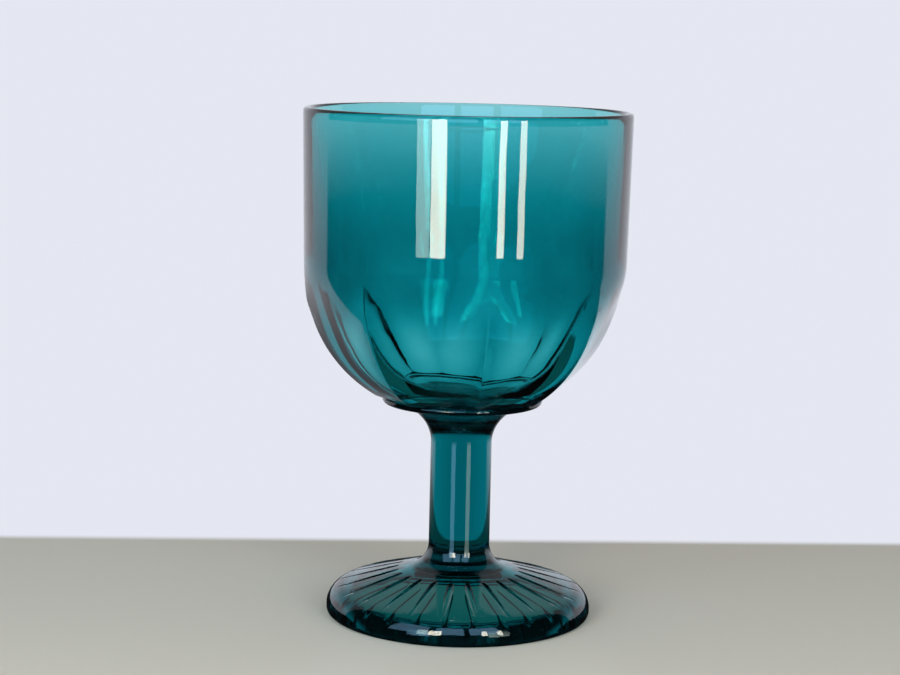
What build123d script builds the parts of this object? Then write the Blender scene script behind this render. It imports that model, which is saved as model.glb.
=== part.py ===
from build123d import *
from math import asin, atan2, cos, degrees, radians, sin, sqrt, tan
import os

# A water goblet of pressed glass: a panelled bowl, a solid stem and a rayed foot, fused one on another.
# Sizes are in millimetres. The goblet stands on z = 0 and turns about the Z axis.
# One ridge between panels and one ray of the foot point along -Y.

# Foot
foot_diameter = 77.0
foot_height = 14.1  # from the table to the seat of the stem
foot_slope = 16.2  # degrees, fall of the upper face towards the edge
foot_edge_round = 6.0
foot_heel_round = 1.8
standing_ring_width = 2.7
hollow_depth = 9.0  # rise of the domed underside above the standing ring

# Rays pressed into the upper face of the foot
ray_count = 24
ray_inner_radius = 17.5
ray_outer_radius = 36.5
ray_width = 2.2
ray_depth = 0.3

# Stem
stem_diameter = 17.74
stem_length = 48.3
skirt_round = 7.0  # hollow curve from the stem down to the foot
flare_width = 14.3  # half axes of the elliptic hollow curve from the stem up to the collar
flare_depth = 11.9
flare_height = 11.5  # as much of that curve as shows below the collar

# Collar under the bowl
collar_diameter = 46.3
collar_thickness = 2.0
collar_round = 0.9

# Bowl, heights measured from the underside of the collar
bowl_height = 84.6
rim_diameter = 94.0
rim_wall = 2.4
lip_round = 1.15
belly_diameter = 92.6
belly_height = 41.6  # the wall is straight above this and curves in below it
belly_round = 80.0

# Panels around the lower half of the bowl
panel_count = 8
panel_lean = 18.4  # degrees from upright, upper flat stretch
panel_bend_inset = 6.3  # how far the bend lies inside the belly
panel_bend_height = 23.6  # flat above this, curved in to the collar below it
ridge_round = 1.5

# Inside of the bowl
cavity_wall = 7.3  # wall at the spring of the cavity's round bottom
cavity_spring_height = 41.6
cavity_fullness = 0.7  # 0.55 is an ellipse, more fills out the bottom
base_thickness = 1.8  # over the middle of the stem

# Levels and radii that follow
foot_radius = foot_diameter / 2
stem_radius = stem_diameter / 2
collar_radius = collar_diameter / 2
rim_radius = rim_diameter / 2
belly_radius = belly_diameter / 2
seat_radius = stem_radius + skirt_round * (1 - sin(radians(foot_slope)))
flare_sweep = asin(flare_height / flare_depth)
flare_radius = stem_radius + flare_width * (1 - cos(flare_sweep))
collar_bottom = foot_height + stem_length
collar_top = collar_bottom + collar_thickness
rim_top = collar_bottom + bowl_height


def turned(outline):
    """Solid of revolution about Z from a closed outline of radius and height."""
    return revolve(Plane.XZ * make_face(outline), Axis.Z)


def rounded(face, corner, radius):
    """The face with its corner nearest to the given point rounded."""
    return fillet(face.vertices().sort_by_distance(corner)[:1], radius)


def make_foot():
    edge_height = foot_height - (foot_radius - seat_radius) * tan(radians(foot_slope))
    ring_inner = foot_radius - foot_heel_round - standing_ring_width
    top_edge = (foot_radius, edge_height)
    heel = (foot_radius, 0)
    seat_edge = (seat_radius, foot_height)
    sides = Polyline((0, hollow_depth), (0, foot_height), seat_edge, top_edge, heel, (ring_inner, 0))
    hollow = TangentArc((0, hollow_depth), (ring_inner, 0), tangent=(1, 0))
    face = make_face(sides + hollow)
    face = rounded(face, top_edge, foot_edge_round)
    face = rounded(face, heel, foot_heel_round)
    disc = revolve(Plane.XZ * face, Axis.Z)
    return disc - ray_cutters()


def ray_cutters():
    """Slender barrels that lie along the foot's slope and leave leaf-shaped grooves."""
    slope = radians(foot_slope)
    half_length = (ray_outer_radius - ray_inner_radius) / cos(slope) / 2
    groove_radius = (ray_width**2 / 4 + ray_depth**2) / (2 * ray_depth)
    tip_radius = groove_radius - ray_depth
    inner_tip = (-half_length, tip_radius)
    outer_tip = (half_length, tip_radius)
    swell = ThreePointArc(inner_tip, (0, groove_radius), outer_tip)
    core = Polyline(outer_tip, (half_length, 0), (-half_length, 0), inner_tip)
    barrel = revolve(make_face(swell + core), Axis.X)
    middle_radius = (ray_inner_radius + ray_outer_radius) / 2
    surface_height = foot_height - (middle_radius - seat_radius) * tan(slope)
    axis_point = (middle_radius + tip_radius * sin(slope), 0, surface_height + tip_radius * cos(slope))
    along_slope = Location(axis_point) * Rot(Y=foot_slope)
    step = 360 / ray_count
    return [Rot(Z=index * step - 90) * along_slope * barrel for index in range(ray_count)]


def make_stem():
    skirt_top = foot_height + skirt_round * cos(radians(foot_slope))
    flare_bottom = collar_bottom - flare_height
    seat_edge = (seat_radius, foot_height)
    collar_edge = (flare_radius, collar_bottom)
    skirt = TangentArc((stem_radius, skirt_top), seat_edge, tangent=(0, -1))
    rod = Line((stem_radius, skirt_top), (stem_radius, flare_bottom))
    flare_centre = (stem_radius + flare_width, flare_bottom)
    sweep = degrees(flare_sweep)
    flare = EllipticalCenterArc(flare_centre, flare_width, flare_depth, 180 - sweep, arc_size=sweep)
    ends = Polyline(collar_edge, (0, collar_bottom), (0, foot_height), seat_edge)
    return turned(skirt + rod + flare + ends)


def make_collar():
    upper = (collar_radius, collar_top)
    lower = (collar_radius, collar_bottom)
    face = make_face(Polyline((0, collar_bottom), lower, upper, (0, collar_top), close=True))
    face = rounded(face, upper, collar_round)
    face = rounded(face, lower, collar_round)
    return revolve(Plane.XZ * face, Axis.Z)


def make_round_bowl():
    """Outer form of the bowl above the collar, before its panels."""
    belly_level = collar_bottom + belly_height
    drop = belly_level - collar_top
    lower_radius = belly_radius - belly_round + sqrt(belly_round**2 - drop**2)
    belly = TangentArc((belly_radius, belly_level), (lower_radius, collar_top), tangent=(0, -1))
    ends = Polyline(
        (belly_radius, belly_level),
        (rim_radius, rim_top),
        (0, rim_top),
        (0, collar_top),
        (lower_radius, collar_top),
    )
    return turned(belly + ends)


def make_panel_cutter():
    """All that lies outside one panel, which faces along +X: flat above, bent in to the collar below."""
    lean = radians(panel_lean)
    bend_radius = belly_radius - panel_bend_inset
    bend_level = collar_bottom + panel_bend_height
    reach = bend_radius + (rim_top - bend_level) * tan(lean)
    bend = (bend_radius, bend_level)
    upper = (reach, rim_top)
    lower = (collar_radius, collar_top)
    flat = Line(upper, bend)
    curve = TangentArc(bend, lower, tangent=(-sin(lean), -cos(lean)))
    outside = Polyline(lower, (rim_diameter, collar_top), (rim_diameter, rim_top), upper)
    return extrude(Plane.XZ * make_face(flat + curve + outside), rim_diameter, both=True)


def make_cavity():
    spring_level = collar_bottom + cavity_spring_height
    spring_radius = belly_radius - cavity_wall
    bottom = collar_bottom + base_thickness
    rim_edge = (rim_radius - rim_wall, rim_top)
    spring = (spring_radius, spring_level)
    wall_pull = (spring_radius, spring_level - cavity_fullness * (spring_level - bottom))
    bottom_pull = (cavity_fullness * spring_radius, bottom)
    dish = Bezier(spring, wall_pull, bottom_pull, (0, bottom))
    sides = Polyline(spring, rim_edge, (0, rim_top), (0, bottom))
    return turned(dish + sides)


def on_ridge(edge):
    """True for an edge that climbs where two panels meet."""
    middle = edge @ 0.5
    turn = (degrees(atan2(middle.Y, middle.X)) + 90) * panel_count / 360
    climb = abs((edge @ 1).Z - (edge @ 0).Z)
    return climb > collar_thickness and abs(turn - round(turn)) < 0.01


def make_bowl():
    step = 360 / panel_count
    cutter = make_panel_cutter()
    half_turned = Rot(Z=step / 2) * make_round_bowl()
    panelled = half_turned - [Rot(Z=(index + 0.5) * step - 90) * cutter for index in range(panel_count)]
    panelled = fillet(panelled.edges().filter_by(on_ridge), ridge_round)
    bowl = panelled + make_collar() - make_cavity()
    lip_edges = bowl.edges().filter_by(GeomType.CIRCLE).group_by(Axis.Z)[-1]
    return fillet(lip_edges, lip_round)


os.makedirs("parts", exist_ok=True)
export_step(make_bowl(), "parts/bowl.step")
export_step(make_stem(), "parts/stem.step")
export_step(make_foot(), "parts/foot.step")
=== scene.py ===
import bpy
from math import asin, atan2, cos, degrees, hypot, pi, radians, sin, sqrt, tan
from mathutils import Matrix, Vector


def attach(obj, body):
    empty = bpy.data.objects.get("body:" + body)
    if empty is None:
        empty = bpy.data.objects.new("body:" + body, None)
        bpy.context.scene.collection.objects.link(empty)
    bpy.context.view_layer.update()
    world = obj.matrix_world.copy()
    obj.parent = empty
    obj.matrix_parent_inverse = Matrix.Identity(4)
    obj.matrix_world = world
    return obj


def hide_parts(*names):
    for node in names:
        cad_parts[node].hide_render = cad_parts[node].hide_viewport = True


# A water goblet of teal pressed glass: panelled bowl, solid stem and rayed foot.
# Sizes are in metres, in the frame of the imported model. One ridge and one ray point along -Y.

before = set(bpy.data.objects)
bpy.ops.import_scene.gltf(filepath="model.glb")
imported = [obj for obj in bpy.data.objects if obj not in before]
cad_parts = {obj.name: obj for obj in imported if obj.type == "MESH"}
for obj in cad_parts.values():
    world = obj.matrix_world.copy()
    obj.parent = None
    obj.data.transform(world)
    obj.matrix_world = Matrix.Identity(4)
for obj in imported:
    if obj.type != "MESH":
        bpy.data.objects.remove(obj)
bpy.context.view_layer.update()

MM = 0.001
CLOSE = 0.001 * MM  # points nearer than this count as one

# Foot
FOOT_RADIUS = 38.5 * MM
FOOT_HEIGHT = 14.1 * MM
FOOT_SLOPE = radians(16.2)
FOOT_EDGE_ROUND = 6.0 * MM
FOOT_HEEL_ROUND = 1.8 * MM
FOOT_HOLLOW = 10.5 * MM  # rise of the domed underside
STANDING_RING = 2.7 * MM

# Rays of the foot, pressed like leaves that are deepest a quarter of the way out
RAYS = 24
RAY_STEP = 2 * pi / RAYS
RAY_INNER = 17.5 * MM
RAY_OUTER = 36.5 * MM
RAY_HALF_WIDTH = 1.1 * MM
RAY_DEPTH = 0.5 * MM
RAY_ROUND = (RAY_HALF_WIDTH**2 - RAY_DEPTH**2) / (2 * RAY_DEPTH)
RAY_INNER_POWER = 0.5  # how the depth begins at the inner tip
RAY_OUTER_POWER = 1.5  # how it dies out towards the outer tip
RAY_PEAK = 1.3  # about the largest value of the curve that these powers give
RAY_RELEASE = 2.0 * MM  # past the tips, the columns of points spread out again over this length
RAY_LEAST_ANGLE = 0.001  # radians, so that the columns never meet
HALF_COLUMNS = 8  # columns of points on each side of a ray's middle
LEAF_COLUMNS = 3  # as many of these lie within the leaf

# Stem
STEM_RADIUS = 8.87 * MM
STEM_COLUMNS = 192
SKIRT_ROUND = 7.0 * MM
FLARE_WIDTH = 14.3 * MM  # half axes of the elliptic flare under the collar
FLARE_DEPTH = 11.9 * MM
FLARE_LEVEL = 50.9 * MM
# The stem's ends reach this far into the glass above and below, so that light passes on unbroken
FUSED_DEPTH = 0.02 * MM

# Collar and rim of the bowl
COLLAR_LEVEL = 62.4 * MM
COLLAR_TOP = 64.4 * MM
COLLAR_RADIUS = 23.15 * MM
COLLAR_NOSE = 1.0 * MM
COLLAR_NOSE_SWEEP = 75  # degrees above and below level
COLLAR_INNER_RING = 4.0 * MM
RIM_LEVEL = 146.99 * MM
RIM_RADIUS = 46.98 * MM
LIP_ROUND = 1.15 * MM
LIP_LEVEL = RIM_LEVEL - LIP_ROUND

# Outer wall of the bowl
BOWL_COLUMNS = 320
BELLY_LEVEL = 104.0 * MM
BELLY_RADIUS = 46.3 * MM
BELLY_ROUND = 80.0 * MM
# Rings of points up the wall, closest where the panels bend: from, to and how many
WALL_RINGS = (
    (COLLAR_TOP, 70.0 * MM, 26),
    (70.3 * MM, 88.0 * MM, 44),
    (88.35 * MM, 108.0 * MM, 50),
    (109.5 * MM, LIP_LEVEL, 18),
)

# Flat panels around the lower half of the bowl, which fade into the round wall above
PANELS = 8
PANEL_STEP = 2 * pi / PANELS
PANEL_LEAN = radians(18.4)
PANEL_BEND_RADIUS = 40.0 * MM
PANEL_BEND_LEVEL = 86.0 * MM
FLAT_BELOW = 80.0 * MM
ROUND_ABOVE = 105.0 * MM
RIDGE_SOFTNESS = 0.1 * MM
RIDGE_GATHER = 0.55  # how strongly the columns of points crowd at the ridges, from 0 to 1
SHOULDER_SOFTNESS = 0.3 * MM  # bend of the wall at a ridge
HOLLOW_SOFTNESS = 3.0 * MM  # bend of the wall at the middle of a panel

# Inside of the bowl
CAVITY_RIM_RADIUS = 44.6 * MM
CAVITY_SPRING_LEVEL = 104.0 * MM
CAVITY_SPRING_RADIUS = 39.0 * MM
CAVITY_BOTTOM = 64.2 * MM
CAVITY_FULLNESS = 0.7  # 0.55 is an ellipse, more fills out the bottom
CAVITY_LIP_GAP = 1.5 * MM  # from the lip to the first ring of points below it

# Levels and radii that follow
SEAT_RADIUS = STEM_RADIUS + SKIRT_ROUND * (1 - sin(FOOT_SLOPE))
FLARE_SWEEP = asin((COLLAR_LEVEL - FLARE_LEVEL) / FLARE_DEPTH)
FLARE_RADIUS = STEM_RADIUS + FLARE_WIDTH * (1 - cos(FLARE_SWEEP))


# Outlines, as points of radius and height

def spread(first, last, count):
    """Evenly spaced values from first to last."""
    return [first + (last - first) * i / (count - 1) for i in range(count)]


def arc(centre, radius, start, end, count):
    """Points on an arc between two angles in degrees."""
    turns = [radians(a) for a in spread(start, end, count)]
    return [(centre[0] + radius * cos(a), centre[1] + radius * sin(a)) for a in turns]


def tangent_arc(start, heading, end, count):
    """Points on the arc that leaves start along heading and ends at end."""
    length = hypot(*heading)
    side = (-heading[1] / length, heading[0] / length)
    reach = (end[0] - start[0], end[1] - start[1])
    radius = (reach[0]**2 + reach[1]**2) / (2 * (reach[0] * side[0] + reach[1] * side[1]))
    centre = (start[0] + side[0] * radius, start[1] + side[1] * radius)
    first = atan2(start[1] - centre[1], start[0] - centre[0])
    last = atan2(end[1] - centre[1], end[0] - centre[0])
    if radius > 0 and last < first:
        last += 2 * pi
    if radius < 0 and last > first:
        last -= 2 * pi
    return arc(centre, abs(radius), degrees(first), degrees(last), count)


def wall_radius(level):
    """Outer wall of the bowl before the panels are pressed in."""
    if level > BELLY_LEVEL:
        share = (level - BELLY_LEVEL) / (RIM_LEVEL - BELLY_LEVEL)
        return BELLY_RADIUS + (RIM_RADIUS - BELLY_RADIUS) * share
    return BELLY_RADIUS - BELLY_ROUND + sqrt(BELLY_ROUND**2 - (BELLY_LEVEL - level)**2)


PANEL_CURVE = tangent_arc(
    start=(PANEL_BEND_RADIUS, PANEL_BEND_LEVEL),
    heading=(-sin(PANEL_LEAN), -cos(PANEL_LEAN)),
    end=(COLLAR_RADIUS, COLLAR_TOP),
    count=80,
)


def panel_distance(level):
    """Distance of a panel's middle from the axis."""
    if level >= PANEL_BEND_LEVEL:
        return PANEL_BEND_RADIUS + (level - PANEL_BEND_LEVEL) * tan(PANEL_LEAN)
    for (r0, z0), (r1, z1) in zip(PANEL_CURVE, PANEL_CURVE[1:]):
        if z1 <= level <= z0:
            return r1 + (r0 - r1) * (level - z1) / (z0 - z1)
    return COLLAR_RADIUS


def cavity_wall(level):
    """Inside of the bowl above the round bottom."""
    share = (level - CAVITY_SPRING_LEVEL) / (RIM_LEVEL - CAVITY_SPRING_LEVEL)
    return CAVITY_SPRING_RADIUS + (CAVITY_RIM_RADIUS - CAVITY_SPRING_RADIUS) * share


def cavity_dish(count):
    """Points down the full round bottom of the inside, as far as the axis."""
    depth = CAVITY_SPRING_LEVEL - CAVITY_BOTTOM
    points = []
    for t in spread(0, 1, count):
        start, first, second, end = (1 - t)**3, 3 * (1 - t)**2 * t, 3 * (1 - t) * t**2, t**3
        radius = CAVITY_SPRING_RADIUS * (start + first + second * CAVITY_FULLNESS)
        points.append((radius, CAVITY_SPRING_LEVEL - depth * (first * CAVITY_FULLNESS + second + end)))
    return points


def soft_min(a, b, softness):
    """The smaller of two values, with a rounded change from one to the other."""
    share = min(max(0.5 + 0.5 * (b - a) / softness, 0), 1)
    return b + (a - b) * share - softness * share * (1 - share)


# Modelling by hand

def turn_on_lathe(name, outline, columns):
    """Draws the outline as a chain of points in the XZ plane and spins it round Z."""
    bpy.ops.object.select_all(action="DESELECT")
    bpy.ops.mesh.primitive_plane_add(size=MM)
    piece = bpy.context.active_object
    piece.name = piece.data.name = name
    bpy.ops.object.mode_set(mode="EDIT")
    bpy.ops.mesh.select_all(action="SELECT")
    bpy.ops.mesh.merge(type="CENTER")
    at = (0.0, 0.0)
    for number, (radius, level) in enumerate(outline):
        move = (radius - at[0], 0, level - at[1])
        if number == 0:
            bpy.ops.transform.translate(value=move)
        else:
            bpy.ops.mesh.extrude_region_move(TRANSFORM_OT_translate={"value": move})
        at = (radius, level)
    bpy.ops.object.mode_set(mode="OBJECT")
    lathe = piece.modifiers.new("lathe", "SCREW")
    lathe.axis = "Z"
    lathe.angle = 2 * pi
    lathe.steps = lathe.render_steps = columns
    lathe.use_merge_vertices = True
    lathe.merge_threshold = CLOSE
    bpy.ops.object.modifier_apply(modifier="lathe")
    bpy.ops.object.mode_set(mode="EDIT")
    bpy.ops.mesh.select_all(action="SELECT")
    bpy.ops.mesh.remove_doubles(threshold=CLOSE)
    bpy.ops.mesh.normals_make_consistent(inside=False)
    bpy.ops.object.mode_set(mode="OBJECT")
    return piece


def heading_of(point):
    """Heading round the axis, zero along -Y."""
    return atan2(point.x, -point.y)


def put(vertex, radius, heading, level):
    vertex.co = (radius * sin(heading), -radius * cos(heading), level)


def finish_piece(piece, node, material, crease):
    """Smooths edges that bend less than the crease in degrees, and gives the piece its glass."""
    bpy.ops.object.select_all(action="DESELECT")
    piece.select_set(True)
    bpy.context.view_layer.objects.active = piece
    bpy.ops.object.shade_smooth_by_angle(angle=radians(crease))
    piece.data.materials.append(material)
    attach(piece, "root")
    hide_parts(node)


# Bowl

def gather_to_ridge(heading):
    """Moves a column of points towards the nearest ridge, so that the ridges are finely divided."""
    middle = (round(heading / PANEL_STEP - 0.5) + 0.5) * PANEL_STEP
    share = (heading - middle) / (PANEL_STEP / 2)
    gathered = (1 - RIDGE_GATHER) * share + RIDGE_GATHER * sin(share * pi / 2)
    return middle + PANEL_STEP / 2 * gathered


def panelled_radius(heading, level):
    """Outer radius of the bowl with its panels pressed in."""
    off_middle = abs((heading / PANEL_STEP) % 1 - 0.5) * PANEL_STEP
    near_middle = 1 - (off_middle / (PANEL_STEP / 2))**2
    softness = SHOULDER_SOFTNESS + (HOLLOW_SOFTNESS - SHOULDER_SOFTNESS) * near_middle
    ridge = soft_min(wall_radius(level), panel_distance(level) / cos(PANEL_STEP / 2), softness)
    middle = ridge * cos(PANEL_STEP / 2)
    flat = soft_min(middle / cos(off_middle), middle / cos(PANEL_STEP - off_middle), RIDGE_SOFTNESS)
    fade = min(max((ROUND_ABOVE - level) / (ROUND_ABOVE - FLAT_BELOW), 0), 1)
    flatness = fade * fade * (3 - 2 * fade)
    return ridge + (flat - ridge) * flatness


def bowl_outline():
    lip_radius = (wall_radius(LIP_LEVEL) - cavity_wall(LIP_LEVEL)) / 2
    lip_middle = (wall_radius(LIP_LEVEL) + cavity_wall(LIP_LEVEL)) / 2
    nose = (COLLAR_RADIUS - COLLAR_NOSE, COLLAR_LEVEL + COLLAR_NOSE)
    outline = [(0, COLLAR_LEVEL)]
    outline += [(r, COLLAR_LEVEL) for r in spread(COLLAR_INNER_RING, nose[0], count=12)]
    outline += arc(nose, COLLAR_NOSE, -COLLAR_NOSE_SWEEP, COLLAR_NOSE_SWEEP, count=11)
    for low, high, count in WALL_RINGS:
        outline += [(wall_radius(z), z) for z in spread(low, high, count)]
    for turn in spread(0, pi, count=15)[1:]:
        outline.append((lip_middle + lip_radius * cos(turn), LIP_LEVEL + LIP_ROUND * sin(turn)))
    inside = spread(LIP_LEVEL - CAVITY_LIP_GAP, CAVITY_SPRING_LEVEL + MM, count=20)
    outline += [(cavity_wall(z), z) for z in inside]
    return outline + cavity_dish(count=72)


def make_bowl():
    bowl = turn_on_lathe("bowl_glass", bowl_outline(), BOWL_COLUMNS)
    # The panels are pressed in point by point, as flats that fade into a round wall have no edge to bevel
    for vertex in bowl.data.vertices:
        radius = hypot(vertex.co.x, vertex.co.y)
        level = vertex.co.z
        if radius < MM:
            continue
        heading = gather_to_ridge(heading_of(vertex.co))
        outside = level > COLLAR_TOP - CLOSE and abs(radius - wall_radius(level)) < CLOSE
        if outside:
            radius = panelled_radius(heading, level)
        put(vertex, radius, heading, level)
    return bowl


# Stem

def make_stem():
    skirt_top = FOOT_HEIGHT + SKIRT_ROUND * cos(FOOT_SLOPE)
    skirt = tangent_arc((STEM_RADIUS, skirt_top), (0, -1), (SEAT_RADIUS, FOOT_HEIGHT), count=32)
    outline = [(0, FOOT_HEIGHT - FUSED_DEPTH), (SEAT_RADIUS, FOOT_HEIGHT - FUSED_DEPTH)]
    outline += skirt[::-1]
    outline += [(STEM_RADIUS, z) for z in spread(skirt_top, FLARE_LEVEL, count=14)[1:-1]]
    for turn in spread(0, FLARE_SWEEP, count=40):
        outline.append((STEM_RADIUS + FLARE_WIDTH * (1 - cos(turn)), FLARE_LEVEL + FLARE_DEPTH * sin(turn)))
    outline += [(FLARE_RADIUS, COLLAR_LEVEL + FUSED_DEPTH), (0, COLLAR_LEVEL + FUSED_DEPTH)]
    return turn_on_lathe("stem_glass", outline, STEM_COLUMNS)


# Foot

def slope_level(radius):
    """Height of the foot's upper face."""
    return FOOT_HEIGHT - (radius - SEAT_RADIUS) * tan(FOOT_SLOPE)


FOOT_EDGE_LEVEL = slope_level(FOOT_RADIUS)
FOOT_EDGE_RUN = FOOT_EDGE_ROUND * tan((pi / 2 - FOOT_SLOPE) / 2)  # from the corner to its round's ends


def foot_outline():
    downhill = (cos(FOOT_SLOPE), -sin(FOOT_SLOPE))
    heel_radius = FOOT_RADIUS - FOOT_HEEL_ROUND
    ring_inner = heel_radius - STANDING_RING
    shoulder = (FOOT_RADIUS - FOOT_EDGE_RUN * downhill[0], FOOT_EDGE_LEVEL - FOOT_EDGE_RUN * downhill[1])
    edge = (FOOT_RADIUS, FOOT_EDGE_LEVEL - FOOT_EDGE_RUN)
    dome_radius = (ring_inner**2 + FOOT_HOLLOW**2) / (2 * FOOT_HOLLOW)
    outline = [(0, FOOT_HEIGHT), (SEAT_RADIUS / 2, FOOT_HEIGHT)]
    outline += [(r, slope_level(r)) for r in spread(SEAT_RADIUS, shoulder[0], count=64)]
    outline += tangent_arc(shoulder, downhill, edge, count=20)[1:]
    outline += arc((heel_radius, FOOT_HEEL_ROUND), FOOT_HEEL_ROUND, 0, -90, count=10)
    outline += [(r, 0) for r in spread(heel_radius, ring_inner, count=5)[1:]]
    for radius in spread(ring_inner, 0, count=40)[1:]:
        outline.append((radius, FOOT_HOLLOW - dome_radius + sqrt(dome_radius**2 - radius**2)))
    return outline


def ray_groove(radius):
    """Half width and depth of a ray where it crosses this radius."""
    along = (radius - (RAY_INNER + RAY_OUTER) / 2) / ((RAY_OUTER - RAY_INNER) / 2)
    if abs(along) >= 1:
        return 0, 0
    depth = RAY_DEPTH * (1 - along)**RAY_OUTER_POWER * (1 + along)**RAY_INNER_POWER / RAY_PEAK
    return sqrt(depth**2 + 2 * depth * RAY_ROUND), depth


def make_foot():
    foot = turn_on_lathe("foot_glass", foot_outline(), RAYS * 2 * HALF_COLUMNS)
    loose = RAY_STEP / 2 * LEAF_COLUMNS / HALF_COLUMNS
    # Each ray is pressed in point by point, and its inner columns close in on its leaf
    for vertex in foot.data.vertices:
        radius = hypot(vertex.co.x, vertex.co.y)
        level = vertex.co.z
        if radius < SEAT_RADIUS or level < FOOT_EDGE_LEVEL - FOOT_EDGE_RUN:
            continue
        heading = heading_of(vertex.co)
        ray = round(heading / RAY_STEP)
        column = round((heading / RAY_STEP - ray) * 2 * HALF_COLUMNS)
        half_width, depth = ray_groove(radius)
        past = max(RAY_INNER - radius, radius - RAY_OUTER, 0) / RAY_RELEASE
        half_angle = max(half_width / radius, loose * min(past, 1), RAY_LEAST_ANGLE)
        across = abs(column) / LEAF_COLUMNS
        cut = 0
        if across <= 1:
            turn = half_angle * across
            if depth > 0:
                cut = sqrt((RAY_ROUND + depth)**2 - (half_width * across)**2) - RAY_ROUND
        else:
            outward = (abs(column) - LEAF_COLUMNS) / (HALF_COLUMNS - LEAF_COLUMNS)
            turn = half_angle + (RAY_STEP / 2 - half_angle) * outward
        side = 1 if column >= 0 else -1
        put(vertex, radius, ray * RAY_STEP + side * turn, level - cut / cos(FOOT_SLOPE))
    return foot


# Teal glass

GLASS_IOR = 1.52
# Per metre, the glass takes away its density times what the colour lacks
GLASS_COLOUR = (0.0, 0.776, 0.793, 1)
GLASS_DENSITY = 500.0
CLEAN_GLASS = (1.0, 1.0, 1.0, 1)
SMUDGED_GLASS = (0.95, 0.98, 0.98, 1)
SMUDGE_ROUGHNESS = 0.02
BUMP_STRENGTH = 0.05
LINE_SHARE = 0.25  # height of the mould lines against the slow ripples


def ripple_group():
    """Shared finish of pressed glass: slow ripples, drawn-out mould lines and faint smudges."""
    group = bpy.data.node_groups.new("pressed_ripple", "ShaderNodeTree")
    group.interface.new_socket(name="Draw", in_out="INPUT", socket_type="NodeSocketVector")
    for name in ("Ripple Scale", "Line Scale"):
        group.interface.new_socket(name=name, in_out="INPUT", socket_type="NodeSocketFloat")
    for name in ("Height", "Smudge"):
        group.interface.new_socket(name=name, in_out="OUTPUT", socket_type="NodeSocketFloat")
    nodes, links = group.nodes, group.links
    given = nodes.new("NodeGroupInput")
    out = nodes.new("NodeGroupOutput")
    place = nodes.new("ShaderNodeTexCoord")
    drawn = nodes.new("ShaderNodeVectorMath")
    drawn.operation = "MULTIPLY"
    links.new(place.outputs["Object"], drawn.inputs[0])
    links.new(given.outputs["Draw"], drawn.inputs[1])
    ripple = nodes.new("ShaderNodeTexNoise")
    ripple.inputs["Detail"].default_value = 1.0
    links.new(place.outputs["Object"], ripple.inputs["Vector"])
    links.new(given.outputs["Ripple Scale"], ripple.inputs["Scale"])
    lines = nodes.new("ShaderNodeTexNoise")
    lines.inputs["Detail"].default_value = 2.0
    links.new(drawn.outputs[0], lines.inputs["Vector"])
    links.new(given.outputs["Line Scale"], lines.inputs["Scale"])
    height = nodes.new("ShaderNodeMath")
    height.operation = "MULTIPLY_ADD"
    height.inputs[1].default_value = LINE_SHARE
    links.new(lines.outputs["Fac"], height.inputs[0])
    links.new(ripple.outputs["Fac"], height.inputs[2])
    links.new(height.outputs[0], out.inputs["Height"])
    smudge = nodes.new("ShaderNodeTexNoise")
    smudge.inputs["Scale"].default_value = 35.0
    smudge.inputs["Detail"].default_value = 4.0
    links.new(place.outputs["Object"], smudge.inputs["Vector"])
    fade = nodes.new("ShaderNodeMapRange")
    fade.inputs["From Min"].default_value = 0.5
    fade.inputs["From Max"].default_value = 0.75
    links.new(smudge.outputs["Fac"], fade.inputs["Value"])
    links.new(fade.outputs["Result"], out.inputs["Smudge"])
    return group


def teal_glass(name, ripple, draw, ripple_scale, line_scale):
    """Clear teal glass that darkens with its thickness."""
    material = bpy.data.materials.new(name)
    material.use_nodes = True
    nodes, links = material.node_tree.nodes, material.node_tree.links
    shader = nodes["Principled BSDF"]
    shader.inputs["Transmission Weight"].default_value = 1.0
    shader.inputs["IOR"].default_value = GLASS_IOR
    finish = nodes.new("ShaderNodeGroup")
    finish.node_tree = ripple
    finish.inputs["Draw"].default_value = draw
    finish.inputs["Ripple Scale"].default_value = ripple_scale
    finish.inputs["Line Scale"].default_value = line_scale
    tint = nodes.new("ShaderNodeMix")
    tint.data_type = "RGBA"
    tint.inputs["A"].default_value = CLEAN_GLASS
    tint.inputs["B"].default_value = SMUDGED_GLASS
    links.new(finish.outputs["Smudge"], tint.inputs["Factor"])
    links.new(tint.outputs["Result"], shader.inputs["Base Color"])
    dull = nodes.new("ShaderNodeMapRange")
    dull.inputs["To Min"].default_value = 0.0
    dull.inputs["To Max"].default_value = SMUDGE_ROUGHNESS
    links.new(finish.outputs["Smudge"], dull.inputs["Value"])
    links.new(dull.outputs["Result"], shader.inputs["Roughness"])
    bump = nodes.new("ShaderNodeBump")
    bump.inputs["Strength"].default_value = BUMP_STRENGTH
    bump.inputs["Distance"].default_value = MM
    links.new(finish.outputs["Height"], bump.inputs["Height"])
    links.new(bump.outputs["Normal"], shader.inputs["Normal"])
    depth = nodes.new("ShaderNodeVolumeAbsorption")
    depth.inputs["Color"].default_value = GLASS_COLOUR
    depth.inputs["Density"].default_value = GLASS_DENSITY
    links.new(depth.outputs["Volume"], nodes["Material Output"].inputs["Volume"])
    return material


ripple = ripple_group()
bowl_glass = teal_glass("bowl_teal_glass", ripple, draw=(1, 1, 0.04), ripple_scale=45.0, line_scale=260.0)
stem_glass = teal_glass("stem_teal_glass", ripple, draw=(1, 1, 0.06), ripple_scale=60.0, line_scale=300.0)
foot_glass = teal_glass("foot_teal_glass", ripple, draw=(1, 1, 1), ripple_scale=70.0, line_scale=200.0)

finish_piece(make_bowl(), "bowl", bowl_glass, crease=50)
finish_piece(make_stem(), "stem", stem_glass, crease=40)
finish_piece(make_foot(), "foot", foot_glass, crease=22)


# Camera

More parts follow.
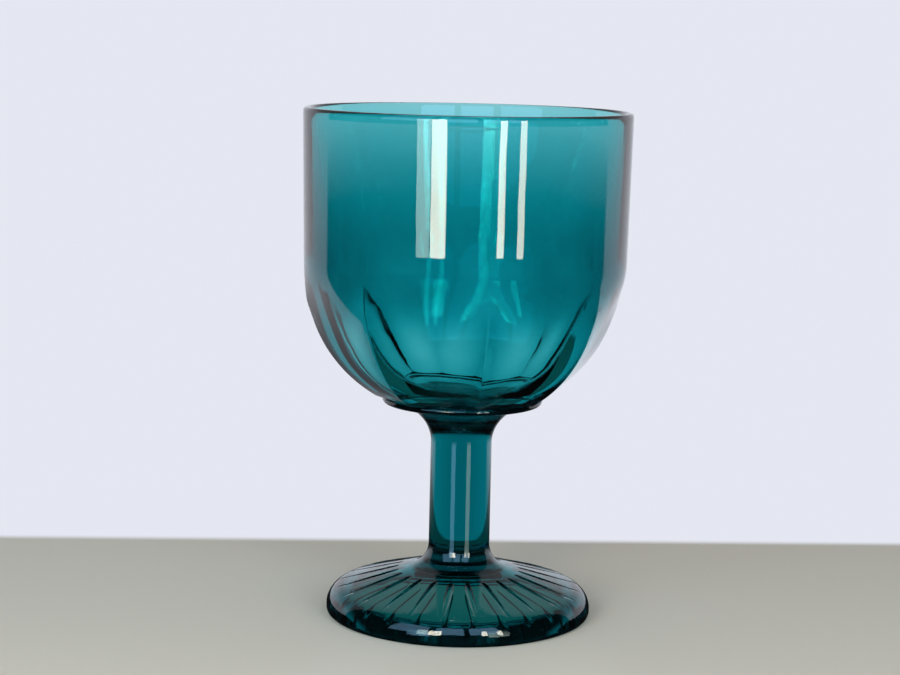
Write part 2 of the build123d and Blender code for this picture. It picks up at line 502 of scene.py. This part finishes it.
VIEW_TURN = radians(8.5)
CAMERA_DISTANCE = 0.6138
CAMERA_HEIGHT = 0.1716
CAMERA_PITCH = radians(8.37)
CAMERA_ROLL = radians(1.23)
CAMERA_YAW = radians(0.365)
LENS_LENGTH = 86.0  # millimetres, as is the sensor
SENSOR_WIDTH = 36.0

toward = Vector((sin(VIEW_TURN), cos(VIEW_TURN), 0))  # away from the camera
aside = Vector((cos(VIEW_TURN), -sin(VIEW_TURN), 0))  # to the camera's right
upward = Vector((0, 0, 1))


def add_camera():
    level_view = Vector((sin(VIEW_TURN - CAMERA_YAW), cos(VIEW_TURN - CAMERA_YAW), 0))
    view = level_view * cos(CAMERA_PITCH) - upward * sin(CAMERA_PITCH)
    level_right = view.cross(upward).normalized()
    level_up = level_right.cross(view)
    right = level_right * cos(CAMERA_ROLL) + level_up * sin(CAMERA_ROLL)
    up = level_up * cos(CAMERA_ROLL) - level_right * sin(CAMERA_ROLL)
    lens = bpy.data.cameras.new("camera")
    lens.lens = LENS_LENGTH
    lens.sensor_width = SENSOR_WIDTH
    lens.clip_start = 0.01
    camera = bpy.data.objects.new("camera", lens)
    place = Matrix((right, up, -view)).transposed().to_4x4()
    place.translation = -toward * CAMERA_DISTANCE + upward * CAMERA_HEIGHT
    camera.matrix_world = place
    bpy.context.scene.collection.objects.link(camera)
    bpy.context.scene.camera = camera


# Floor and surroundings

BACKDROP = (0.78, 0.80, 0.88, 1)
FLOOR = (0.72, 0.60, 0.475, 1)
SHADED_FLOOR = (0.21, 0.205, 0.19, 1)  # painted shadow: the floor under the goblet, as seen through it, glows this dark tone
CEILING = (0.30, 0.31, 0.33, 1)
PAINTED_SHADE = (0.012, 0.013, 0.014, 1)  # painted shade for the unlit room in front of the goblet and the shadow close to it, seen only in the glass, out of the camera's sight

FLOOR_SIZE = 4.0
FLOOR_DROP = 0.02 * MM
# Marks between which one thing gives way to the next, in metres from the goblet
FLOOR_END = (0.28, 0.36)  # floor to backdrop, all round
FLOOR_BACK = (0.083, 0.091)  # floor to backdrop, straight behind
FLOOR_BACK_TURN = radians(3.5)  # that far edge runs a little away to the right
FOOT_SHADE = (0.25, 0.10)  # mirrored floor to the painted shadow close to the goblet
SHADE_AHEAD_END = (2.0, 1.2)  # mirrored floor to the painted shade ahead
# Marks on the way from straight behind the goblet, at -1, to the camera's side, at 1
SHADE_AHEAD_SIDE = (-0.40, -0.34)  # the painted shade ahead begins
CLEAR_SIDE = (-0.25, -0.15)  # sight straight through the glass is free again
# Marks between level, at 0, and overhead, at 1
CEILING_RISE = (0.2, 0.45)


def feed(tree, value, socket):
    """Links a socket to another one, or gives it a plain value."""
    if isinstance(value, bpy.types.NodeSocket):
        tree.links.new(value, socket)
    else:
        socket.default_value = value


def reckon(tree, operation, first, second):
    """Result of a sum with two values."""
    node = tree.nodes.new("ShaderNodeMath")
    node.operation = operation
    feed(tree, first, node.inputs[0])
    feed(tree, second, node.inputs[1])
    return node.outputs[0]


def step_up(tree, value, marks, interpolation="SMOOTHSTEP"):
    """Zero at the first mark, one at the second and past it."""
    ramp = tree.nodes.new("ShaderNodeMapRange")
    ramp.interpolation_type = interpolation
    ramp.inputs["From Min"].default_value = marks[0]
    ramp.inputs["From Max"].default_value = marks[1]
    feed(tree, value, ramp.inputs["Value"])
    return ramp.outputs["Result"]


def measure(tree, operation, vector, output, direction=None):
    """Result of a sum with a vector, or with a vector and a fixed direction."""
    node = tree.nodes.new("ShaderNodeVectorMath")
    node.operation = operation
    feed(tree, vector, node.inputs[0])
    if direction is not None:
        node.inputs[1].default_value = direction
    return node.outputs[output]


def glow(tree, colour):
    node = tree.nodes.new("ShaderNodeEmission")
    node.inputs["Color"].default_value = colour
    return node.outputs["Emission"]


def blend_shaders(tree, share, first, second):
    node = tree.nodes.new("ShaderNodeMixShader")
    feed(tree, share, node.inputs["Fac"])
    feed(tree, first, node.inputs[1])
    feed(tree, second, node.inputs[2])
    return node.outputs["Shader"]


def blend_colours(tree, share, first, second):
    node = tree.nodes.new("ShaderNodeMix")
    node.data_type = "RGBA"
    feed(tree, share, node.inputs["Factor"])
    feed(tree, first, node.inputs["A"])
    feed(tree, second, node.inputs["B"])
    return node.outputs["Result"]


def floor_shader(tree):
    """Warm floor that turns into the backdrop; seen through the glass it glows with painted shadow, and in
    the mirror images on the glass it turns into painted shade close to the goblet and ahead of it.
    """
    path = tree.nodes.new("ShaderNodeLightPath").outputs
    place = tree.nodes.new("ShaderNodeTexCoord").outputs["Object"]
    lit = tree.nodes.new("ShaderNodeBsdfDiffuse")
    lit.inputs["Color"].default_value = FLOOR
    # Seen through the glass, the floor glows with painted shadow
    floor = blend_shaders(tree, path["Is Transmission Ray"], lit.outputs["BSDF"], glow(tree, SHADED_FLOOR))

    reach = measure(tree, "LENGTH", place, "Value")
    backward = toward * cos(FLOOR_BACK_TURN) - aside * sin(FLOOR_BACK_TURN)
    behind = measure(tree, "DOT_PRODUCT", place, "Value", backward)
    beyond = reckon(tree, "MAXIMUM", step_up(tree, reach, FLOOR_END), step_up(tree, behind, FLOOR_BACK))
    seen = reckon(tree, "MAXIMUM", path["Is Camera Ray"], path["Is Glossy Ray"])
    seen = reckon(tree, "MAXIMUM", seen, path["Is Transmission Ray"])
    pale = blend_shaders(tree, reckon(tree, "MULTIPLY", beyond, seen), floor, glow(tree, BACKDROP))

    heading = measure(tree, "NORMALIZE", place, "Vector")
    front = measure(tree, "DOT_PRODUCT", heading, "Value", -toward)
    # In the mirror images on the glass, the floor close to the goblet and ahead of it is painted shade
    shade_ahead_end = step_up(tree, reach, SHADE_AHEAD_END, "LINEAR")
    in_shade_ahead = reckon(tree, "MULTIPLY", step_up(tree, front, SHADE_AHEAD_SIDE), shade_ahead_end)
    dark = reckon(tree, "MAXIMUM", in_shade_ahead, step_up(tree, reach, FOOT_SHADE, "LINEAR"))
    mirrored = reckon(tree, "MULTIPLY", dark, path["Is Reflection Ray"])
    return blend_shaders(tree, mirrored, pale, glow(tree, PAINTED_SHADE))


def add_floor():
    bpy.ops.object.select_all(action="DESELECT")
    bpy.ops.mesh.primitive_circle_add(
        vertices=96, radius=FLOOR_SIZE, fill_type="NGON", location=(0, 0, -FLOOR_DROP))
    floor = bpy.context.active_object
    floor.name = "floor"
    material = bpy.data.materials.new("pale_floor")
    material.use_nodes = True
    tree = material.node_tree
    tree.nodes.clear()
    out = tree.nodes.new("ShaderNodeOutputMaterial")
    tree.links.new(floor_shader(tree), out.inputs["Surface"])
    floor.data.materials.append(material)


def add_world():
    """Pale backdrop all round, with a darker ceiling and painted shade, for the unlit room ahead and the
    dark above, in what the glass mirrors and bends.
    """
    world = bpy.data.worlds.new("studio")
    bpy.context.scene.world = world
    world.use_nodes = True
    tree = world.node_tree
    path = tree.nodes.new("ShaderNodeLightPath").outputs
    place = tree.nodes.new("ShaderNodeTexCoord").outputs["Generated"]
    high = step_up(tree, measure(tree, "DOT_PRODUCT", place, "Value", upward), CEILING_RISE)
    overhead = reckon(tree, "MULTIPLY", high, path["Is Reflection Ray"])
    tone = blend_colours(tree, overhead, BACKDROP, CEILING)

    front = measure(tree, "DOT_PRODUCT", place, "Value", -toward)
    bounced = reckon(tree, "GREATER_THAN", path["Glossy Depth"], 0.5)
    # The painted shade lets sight straight through the glass pass, so that the goblet stays clear from other
    # sides
    blocked = reckon(tree, "SUBTRACT", 1.0, step_up(tree, front, CLEAR_SIDE))
    veiled = reckon(tree, "MAXIMUM", bounced, blocked)
    # Painted shade ahead, in mirror images and in sight bent through the glass
    shade_ahead = reckon(tree, "MULTIPLY", step_up(tree, front, SHADE_AHEAD_SIDE), veiled)
    shade_ahead = reckon(tree, "MULTIPLY", shade_ahead, path["Is Glossy Ray"])
    # Sight bent upwards through the glass meets painted shade overhead
    bent_up = reckon(tree, "MULTIPLY", high, path["Is Transmission Ray"])
    tone = blend_colours(tree, reckon(tree, "MAXIMUM", shade_ahead, bent_up), tone, PAINTED_SHADE)

    background = tree.nodes["Background"]
    tree.links.new(tone, background.inputs["Color"])
    background.inputs["Strength"].default_value = 1.0


# Lamps

WARM = (1.0, 0.92, 0.74)
GREENISH = (0.78, 1.0, 0.9)
BLUISH = (0.3, 0.65, 1.0)
WIDE_BEAM = 180  # degrees
NARROW_BEAM = 60

# Soft boxes by row: name, headings from and to in degrees, brightness, colour
WALL_STRIPS = (
    ("green_strip", -33, -24, 6.0, GREENISH),
    ("wide_strip", -23.5, -13, 16.0, WARM),
    ("middle_strip", 20.7, 25.4, 15.0, WARM),
    ("narrow_strip", 34, 38.5, 13.0, WARM),
)
STEM_STRIPS = (
    ("left_stem_strip", -34, -18, 0.5, BLUISH),
    ("right_stem_strip", 21, 36, 0.4, GREENISH),
)
HIGH_PANES = (
    ("left_pane", -60, -26, 2.6, BLUISH),
    ("front_pane", -20, 6, 3.2, BLUISH),
    ("right_pane", 11, 38, 3.2, BLUISH),
)


def add_soft_boxes(row, distance, low, high, beam):
    """A row of upright lamps that face the goblet. Heading zero is towards the camera."""
    for name, turn_from, turn_to, brightness, colour in row:
        turns = (radians(turn_from), radians(turn_to))
        first, last = [(aside * sin(a) - toward * cos(a)) * distance for a in turns]
        middle = (first + last) / 2 + upward * (low + high) / 2
        lamp = bpy.data.lights.new(name, "AREA")
        lamp.shape = "RECTANGLE"
        lamp.size = (last - first).length
        lamp.size_y = high - low
        lamp.energy = brightness * pi * lamp.size * lamp.size_y
        lamp.color = colour
        lamp.spread = radians(beam)
        light = bpy.data.objects.new(name, lamp)
        facing = Vector((-middle.x, -middle.y, 0)).normalized()
        place = Matrix((facing.cross(upward), upward, -facing)).transposed().to_4x4()
        place.translation = middle
        light.matrix_world = place
        light.visible_camera = False
        bpy.context.scene.collection.objects.link(light)


add_camera()
add_floor()
add_world()
add_soft_boxes(WALL_STRIPS, distance=0.5, low=0.045, high=0.25, beam=WIDE_BEAM)
add_soft_boxes(STEM_STRIPS, distance=0.09, low=0.0, high=0.045, beam=NARROW_BEAM)
add_soft_boxes(HIGH_PANES, distance=1.0, low=0.17, high=1.0, beam=WIDE_BEAM)

scene = bpy.context.scene
scene.view_settings.view_transform = "Standard"
scene.cycles.max_bounces = 32
scene.cycles.glossy_bounces = 24
scene.cycles.transmission_bounces = 24
